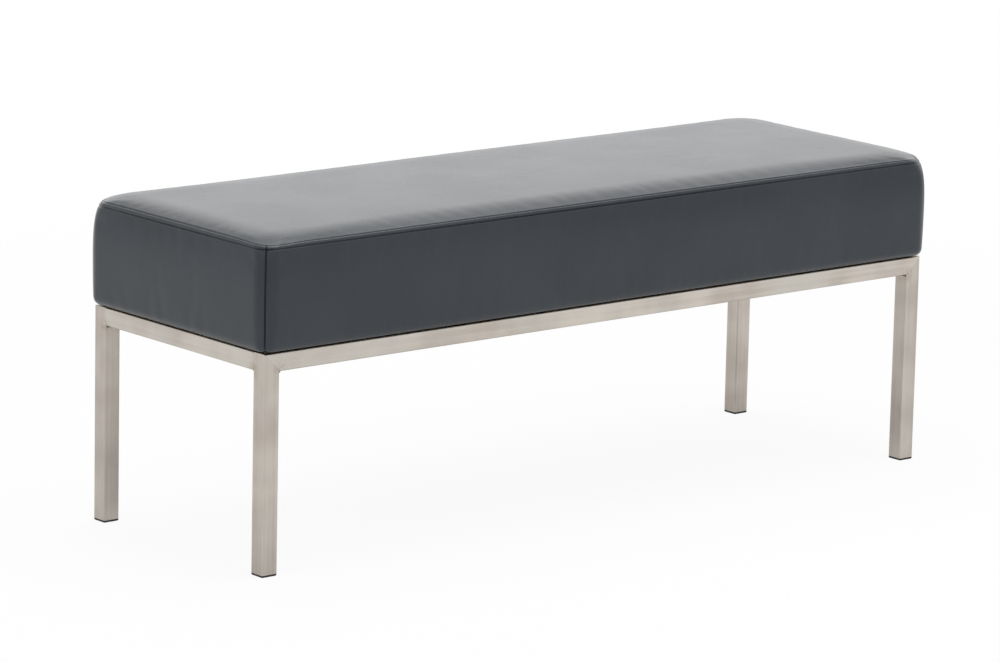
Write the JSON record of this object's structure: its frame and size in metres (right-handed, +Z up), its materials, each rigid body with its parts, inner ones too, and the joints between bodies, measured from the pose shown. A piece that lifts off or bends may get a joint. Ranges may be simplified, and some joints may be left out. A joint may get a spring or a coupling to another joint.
{
  "type": "upholstered bench",
  "caption": "Long backless bench: a thick charcoal faux-leather pad with stitched edges on a low frame of square brushed stainless tube with straight legs and floor glides.",
  "frame": {"origin": "on the floor, under the middle of the bench", "axes": "+X along the length, +Y from the front to the rear, +Z up"},
  "size_m": [1.2, 0.3998, 0.456],
  "materials": {
    "brushed_stainless": "brushed along each tube, ground flush at the mitres",
    "faux_leather": "charcoal, fine grain, semi-matt",
    "plywood": "raw sanded plywood",
    "seat_foam": "open-cell foam",
    "dust_cloth": "black non-woven cloth",
    "glide_plastic": "moulded black polyethylene",
    "plated_hardware": "bright zinc plate"
  },
  "bodies": {
    "root": {"front_rail": "brushed_stainless", "rear_rail": "brushed_stainless", "left_end_rail": "brushed_stainless", "right_end_rail": "brushed_stainless", "corner_welds": "brushed_stainless", "tab_welds": "brushed_stainless", "leg_front_left": "brushed_stainless", "leg_front_right": "brushed_stainless", "leg_rear_left": "brushed_stainless", "leg_rear_right": "brushed_stainless", "tab_front_left": "brushed_stainless", "tab_front_right": "brushed_stainless", "tab_rear_left": "brushed_stainless", "tab_rear_right": "brushed_stainless", "cover_top": "faux_leather", "cover_front": "faux_leather", "cover_rear": "faux_leather", "cover_left": "faux_leather", "cover_right": "faux_leather", "seat_board": "plywood", "foam_core": "seat_foam", "dust_cover": "dust_cloth", "glide_front_left": "glide_plastic", "glide_front_right": "glide_plastic", "glide_rear_left": "glide_plastic", "glide_rear_right": "glide_plastic", "pad_screws": "plated_hardware", "washers": "plated_hardware", "threaded_inserts": "plated_hardware"}
  },
  "joints": []
}
